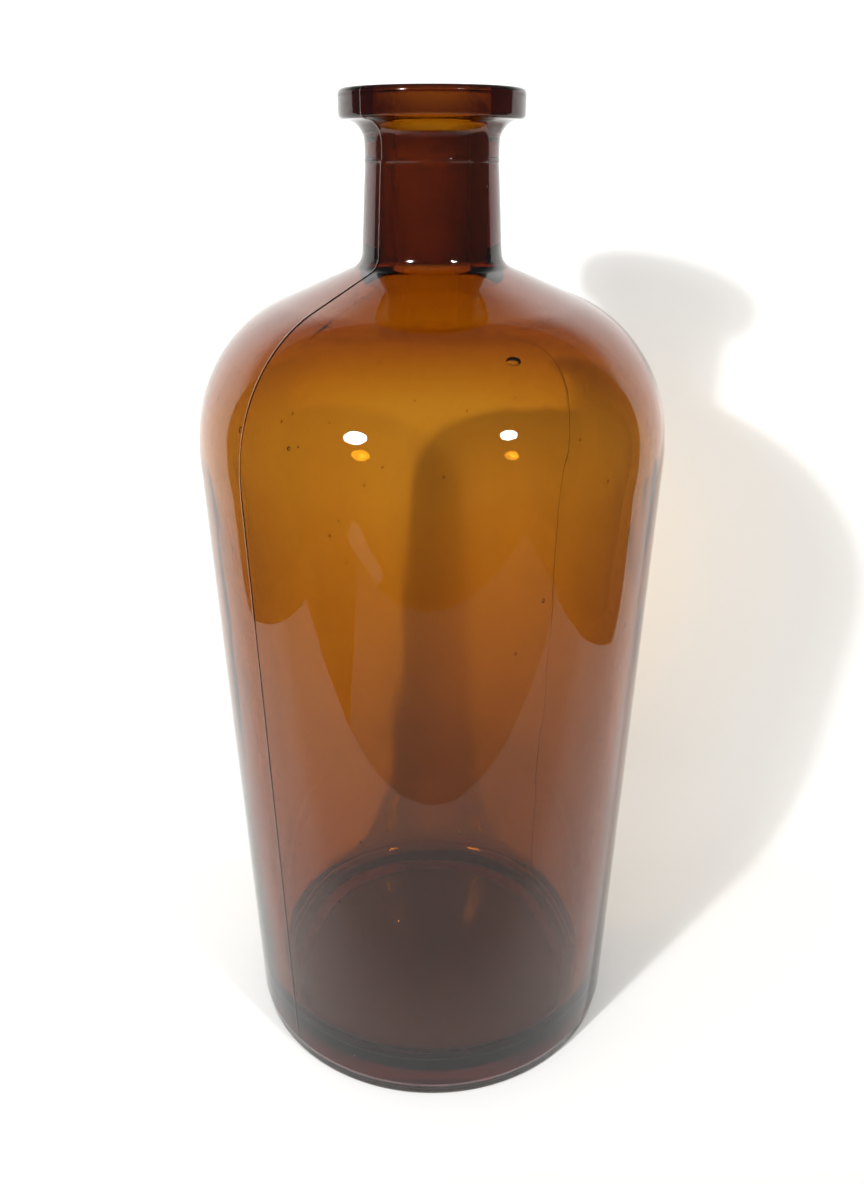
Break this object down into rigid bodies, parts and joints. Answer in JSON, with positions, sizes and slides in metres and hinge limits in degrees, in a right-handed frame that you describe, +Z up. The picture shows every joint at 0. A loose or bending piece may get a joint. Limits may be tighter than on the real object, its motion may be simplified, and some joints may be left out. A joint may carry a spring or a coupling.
{
  "type": "reagent bottle",
  "caption": "Round narrow-mouth amber glass reagent bottle with sloping shoulders, short neck, flanged lip and thick pushed-up base, without its stopper.",
  "frame": {"origin": "on the bottle's axis, in the plane that it stands on", "axes": "+Z up the bottle's axis, -Y towards the viewer"},
  "size_m": [0.136, 0.136, 0.2985],
  "materials": {
    "amber_glass": "fire-polished moulded amber glass"
  },
  "bodies": {
    "root": {"base": "amber_glass", "bottle_body": "amber_glass", "neck_finish": "amber_glass"}
  },
  "joints": []
}
